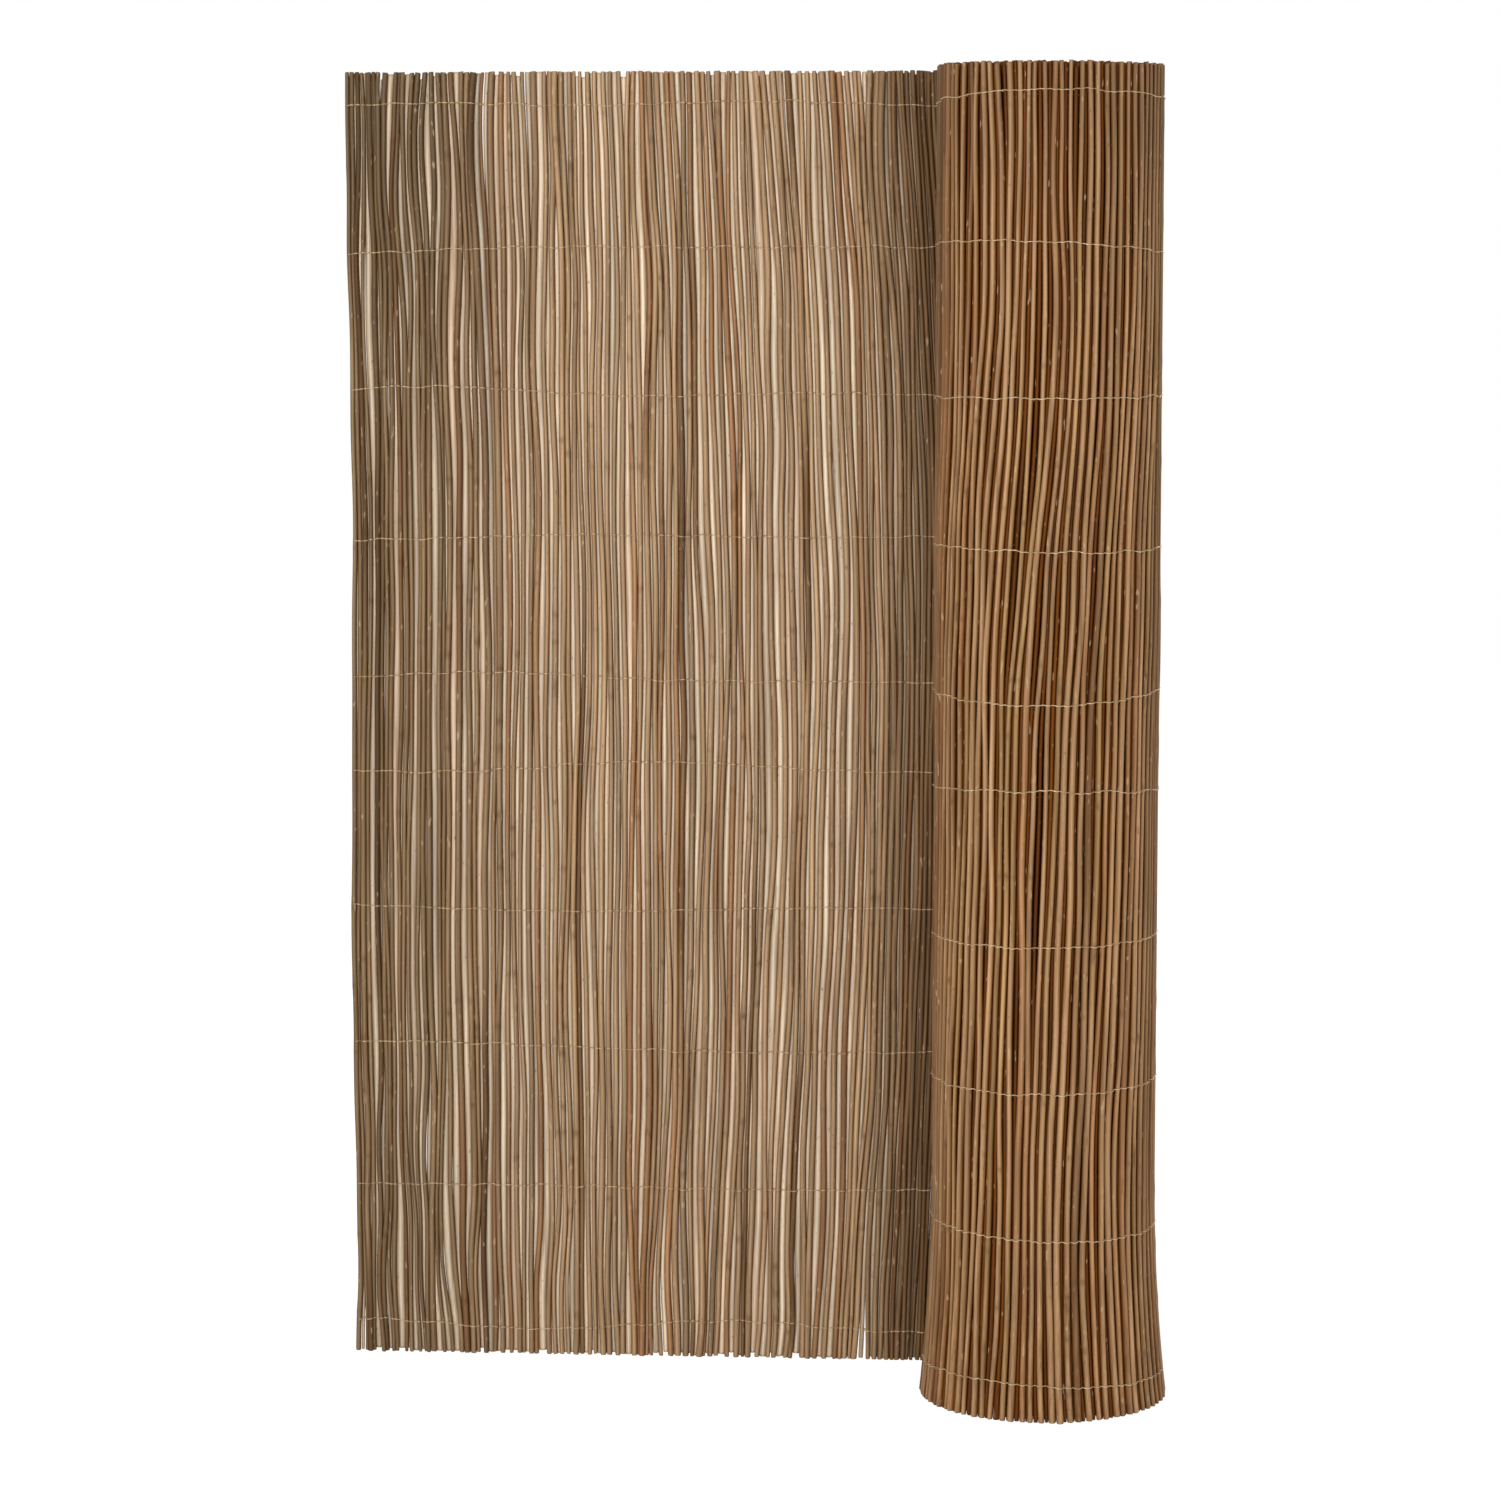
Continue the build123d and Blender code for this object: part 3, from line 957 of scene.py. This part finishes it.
print("the top of", near_pattern.name, "is level", level_of(read(near_pattern.vertices, "co", 3)).max())

# %% Dressing the rods
# painted shade between neighbouring rods: the bark is darker on its sides than on its front and rear crests
SIDE_SHADE = np.array((0.56, 0.68, 0.88))  # how much darker the bark is where two rods face each other


def add_values(mesh, name, kind, key, values):
    """Gives each vertex of a mesh a value of its own."""
    mesh.attributes.new(name, kind, "POINT").data.foreach_set(key, values.ravel())


def dress_rods(mesh, unit, run, rods):
    """Gives a piece its two materials and the values that they read."""
    mesh.materials.append(willow_bark)
    mesh.materials.append(cut_willow)
    level = level_of(unit)
    # painted shade on the sides of each rod, where it faces its neighbours
    side_shaded = 1 - SIDE_SHADE * (1 - unit[:, 1:2] ** 2)
    to_rear = np.clip(0.5 + unit[:, 1:2], 0, 1)
    bark = side_shaded * (run.front[rods][:, level] * (1 - to_rear) + run.rear[rods][:, level] * to_rear)
    opaque = np.concatenate((bark, np.ones_like(bark[..., :1])), axis=-1)
    add_values(mesh, "bark", "FLOAT_COLOR", "color", opaque)
    add_values(mesh, "knot", "FLOAT", "value", run.marks[rods][:, level])
    add_values(mesh, "from_middle", "FLOAT", "value", np.tile(np.hypot(unit[:, 0], unit[:, 1]), len(rods)))


print("between two rods the bark keeps", (1 - SIDE_SHADE).round(2), "of its colour")

# %% Pieces of the mat
def stand_rods(name, node, pattern, run, rods):
    """One piece of the mat: some rods of a run, each a copy of the pattern."""
    mesh = copies_of(pattern, name, len(rods))
    unit = read(pattern.vertices, "co", 3)
    mesh.vertices.foreach_set("co", bent_copies(unit, run, rods).ravel())
    dress_rods(mesh, unit, run, rods)
    mesh.update()
    piece = bpy.data.objects.new(name, mesh)
    scene.collection.objects.link(piece)
    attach(piece, "root")
    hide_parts(node)
    print(name, len(rods), "rods,", len(mesh.polygons), "faces")


def stand_run(name, node, pattern, run, rods, pieces):
    """Shares the rods out over so many pieces."""
    for number, part in enumerate(np.array_split(rods, pieces), start=1):
        stand_rods(f"{name}_{number}", node, pattern, run, part)


every_rolled = np.arange(rolled_count)
stand_run("unrolled_rods", "flat_rods", near_pattern, flat, np.arange(flat_count), 4)
stand_run("split_rods", "flat_rods", thin_pattern, split, np.arange(split_count), 2)
stand_run("outer_turn_rods", "rolled_rods", near_pattern, rolled, every_rolled[:outer_count], 3)
stand_run("inner_turn_rods", "rolled_rods", far_pattern, rolled, every_rolled[outer_count:], 3)
stand_run("outer_filler_rods", "rolled_rods", thin_pattern, filler, every_rolled[:outer_count], 2)
stand_run("inner_filler_rods", "rolled_rods", far_pattern, filler, every_rolled[outer_count:-1], 3)

# %% [markdown]
# ## Binding wire
# The wire is thin and pale, with a zinc coat that has dulled in places. A single grey would look like
# plastic, so a touch of noise varies its colour and its gloss.

# %% Binding wire
ZINC = paint(216, 190, 150)
DULL_ZINC = paint(172, 142, 104)

binding_wire, tree = new_material("binding_wire")
tarnish = rise(grain(tree, across=160, up=160), 0.4, 0.65)
metal = tree.node("ShaderNodeBsdfPrincipled", {}, {
    "Base Color": blend(tarnish, ZINC, DULL_ZINC),
    "Roughness": 0.35 + 0.25 * tarnish,
    "Metallic": 0.35,
})
close_material(binding_wire, tree, metal)

# %% [markdown]
# ## Rows of wire
# Each row has two strands, one on each face of the mat. Both lie over every rod, and in the slit between
# two rods they come together, one a little above the other, as twisted strands do. A strand could be
# swept as a plain ring round the mat, but it would cut through some rods and miss others. So it is a curve
# with a round bevel through points on the rods: on the crest of each, beside it, and in the slit. Where
# rods crowd, the strand stays on whichever rod stands out the most.

# %% Rods along a row
END_ROW = 0.025
ROW_PITCH = 0.11
ROWS_PER_END = 5

lower_rows = END_ROW + ROW_PITCH * np.arange(ROWS_PER_END)
row_heights = np.append(lower_rows, MAT_HEIGHT - lower_rows[::-1])


def rods_at(height, runs):
    """Place, offset and radius of all rods of some runs at one height, from the free edge on."""
    step = min(int(height / MAT_HEIGHT * (LEVELS - 1)), LEVELS - 2)
    part = height / MAT_HEIGHT * (LEVELS - 1) - step
    grids = [np.vstack([getattr(run, name) for run in runs]) for name in ("along", "proud", "radius")]
    found = [grid[:, step] * (1 - part) + grid[:, step + 1] * part for grid in grids]
    order = np.argsort(found[0])
    return [values[order] for values in found]


print("rows at", [round(float(height), 3) for height in row_heights])

# %% Points of a strand
STRAND = 0.0008  # thickness of a strand
TWIST = 0.0005  # how far two strands part where they twist
STEPS_ON = np.array((0, 0.25, 0.5, 0.75))  # from one crest to the next
TWISTED = (0, 0.4, 1, 0.4)  # how much of the twist there is at each step
ROW_SWAY, SWAY_WAVES = 0.0022, (0.25, 0.7)
ROW_SHAKE, SHAKE_WAVES = 0.0005, (0.02, 0.06)


def strand_points(height, side, draw):
    """Points of one strand along its row, on the front or the rear of the mat."""
    crests, middles, _ = rods_at(height, (flat, split, rolled))
    ways = crests[:-1, None] + np.diff(crests)[:, None] * STEPS_ON
    turns = np.tile(TWISTED, (len(ways), 1))
    in_sight = np.ones_like(ways, bool)
    in_sight[-(rolled_count - outer_count) :, 1::2] = False
    reach = np.append(ways[in_sight], crests[-1])
    along, proud, radius = rods_at(height, (flat, split, rolled, filler))
    off = reach[:, None] - along
    bulge = side * proud + np.sqrt(np.maximum(radius**2 - off**2, 0))
    bulge = np.where(np.abs(off) < radius, bulge, -1).max(axis=1)
    out = np.maximum(bulge + STRAND / 2, side * np.interp(reach, crests, middles) + TWIST)
    twist = np.append(turns[in_sight], 0) * TWIST * side
    middle, rear = mat_frame(reach)
    plan = middle + rear * (side * out)[:, None]
    sway, shake = (waves(1, lengths, draw, reach)[0] for lengths in (SWAY_WAVES, SHAKE_WAVES))
    return np.column_stack((plan, height + twist + (ROW_SWAY * sway + ROW_SHAKE * shake)))


print("a strand is", STRAND, "m thick, and twists", TWIST, "m up or down")

# %% A strand as a mesh
def lay_strand(name, points):
    """One strand as a mesh: a curve through the points with a round bevel, and closed ends."""
    curve = bpy.data.curves.new(name, "CURVE")
    curve.dimensions = "3D"
    curve.bevel_depth = STRAND / 2
    curve.bevel_resolution = 1
    curve.use_fill_caps = True
    spline = curve.splines.new("POLY")
    spline.points.add(len(points) - 1)
    spline.points.foreach_set("co", np.column_stack((points, np.ones(len(points)))).ravel())
    holder = bpy.data.objects.new(name, curve)
    mesh = bpy.data.meshes.new_from_object(holder)
    bpy.data.objects.remove(holder)
    bpy.data.curves.remove(curve)
    mesh.name = name
    mesh.materials.clear()
    mesh.materials.append(binding_wire)
    return mesh


# %% Rows of wire
WIRE_SEED = 11
ROW_SEEDS = 1 << 30  # the two strands of a row share one of so many seeds

draw = np.random.default_rng(WIRE_SEED)
for row, height in enumerate(row_heights, start=1):
    row_seed = int(draw.integers(ROW_SEEDS))
    for node, side in ((f"front_wire_{row:02d}", FRONT), (f"rear_wire_{row:02d}", REAR)):
        points = strand_points(height, side, np.random.default_rng(row_seed))
        piece = bpy.data.objects.new(f"{node}_strand", lay_strand(f"{node}_strand", points))
        scene.collection.objects.link(piece)
        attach(piece, "root")
        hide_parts(node)
print(len(row_heights), "rows,", len(points), "points to a strand,", len(piece.data.polygons), "faces")
